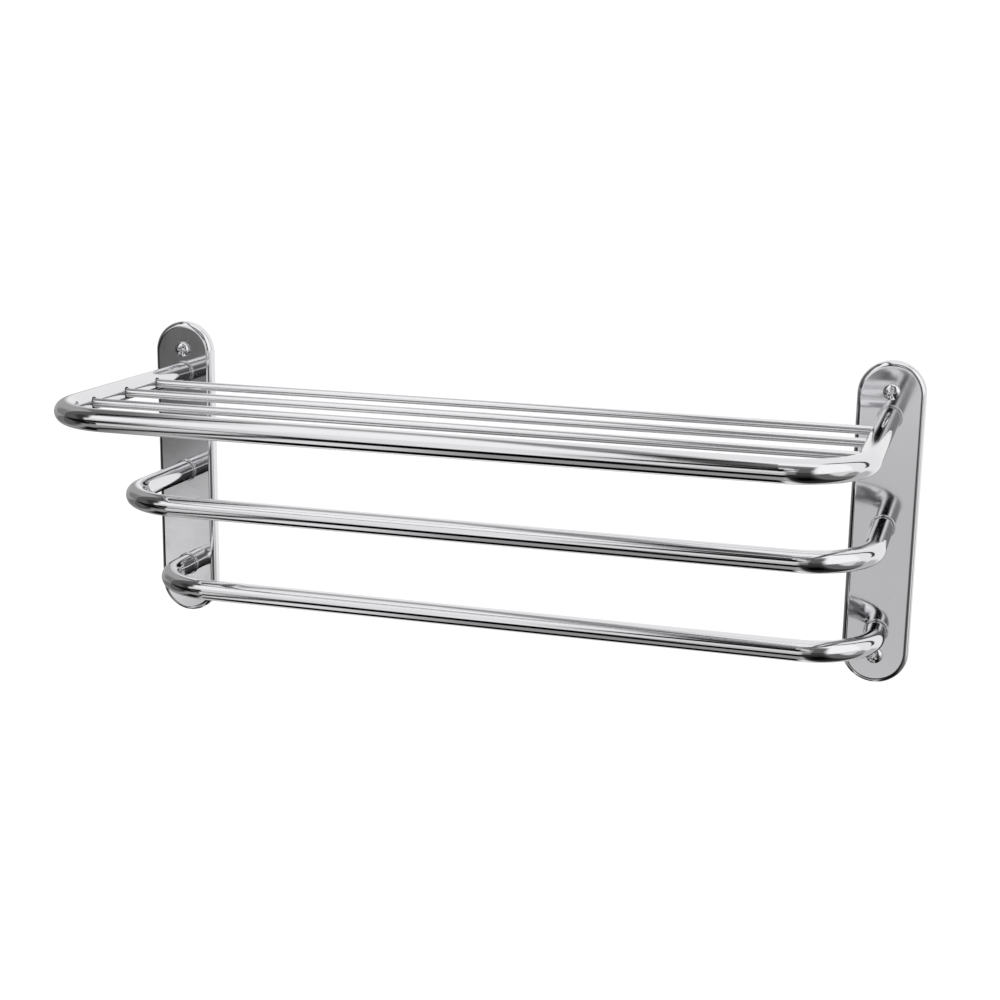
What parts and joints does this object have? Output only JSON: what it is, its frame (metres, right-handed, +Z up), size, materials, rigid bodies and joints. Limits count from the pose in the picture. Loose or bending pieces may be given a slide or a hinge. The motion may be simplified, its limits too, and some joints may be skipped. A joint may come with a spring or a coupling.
{
  "type": "towel rack",
  "caption": "Wall-mounted polished chrome towel rack: a shelf of round rods in a bent tube frame above stepped-back towel bars, between round-ended wall plates.",
  "frame": {"origin": "the point on the wall plane midway between the two wall plates, at half their height", "axes": "+X along the rack to its right end as seen from the room, +Y into the wall, +Z up"},
  "size_m": [0.609, 0.2647, 0.241],
  "materials": {
    "chrome_plate": "mirror-polished chrome on pressed steel",
    "chrome_tube": "mirror-polished chrome on drawn steel tube",
    "chrome_rod": "mirror-polished chrome on round steel bar",
    "chrome_trim": "polished chrome on turned rings and screw heads",
    "zinc_steel": "dull zinc plate on mild steel"
  },
  "bodies": {
    "root": {"left_lower_bar_collar": "chrome_trim", "left_lower_bar_end_plug": "zinc_steel", "left_lower_bar_fixing_screw": "zinc_steel", "left_lower_bar_lock_washer": "zinc_steel", "left_lower_wall_screw": "chrome_trim", "left_middle_bar_collar": "chrome_trim", "left_middle_bar_end_plug": "zinc_steel", "left_middle_bar_fixing_screw": "zinc_steel", "left_middle_bar_lock_washer": "zinc_steel", "left_plate_cover": "chrome_plate", "left_shelf_collar": "chrome_trim", "left_shelf_end_plug": "zinc_steel", "left_shelf_fixing_screw": "zinc_steel", "left_shelf_lock_washer": "zinc_steel", "left_stiffener_plate": "zinc_steel", "left_upper_wall_screw": "chrome_trim", "lower_bar_tube": "chrome_tube", "middle_bar_tube": "chrome_tube", "right_lower_bar_collar": "chrome_trim", "right_lower_bar_end_plug": "zinc_steel", "right_lower_bar_fixing_screw": "zinc_steel", "right_lower_bar_lock_washer": "zinc_steel", "right_lower_wall_screw": "chrome_trim", "right_middle_bar_collar": "chrome_trim", "right_middle_bar_end_plug": "zinc_steel", "right_middle_bar_fixing_screw": "zinc_steel", "right_middle_bar_lock_washer": "zinc_steel", "right_plate_cover": "chrome_plate", "right_shelf_collar": "chrome_trim", "right_shelf_end_plug": "zinc_steel", "right_shelf_fixing_screw": "zinc_steel", "right_shelf_lock_washer": "zinc_steel", "right_stiffener_plate": "zinc_steel", "right_upper_wall_screw": "chrome_trim", "shelf_frame_tube": "chrome_tube", "shelf_rod_front": "chrome_rod", "shelf_rod_middle": "chrome_rod", "shelf_rod_rear": "chrome_rod"}
  },
  "joints": []
}
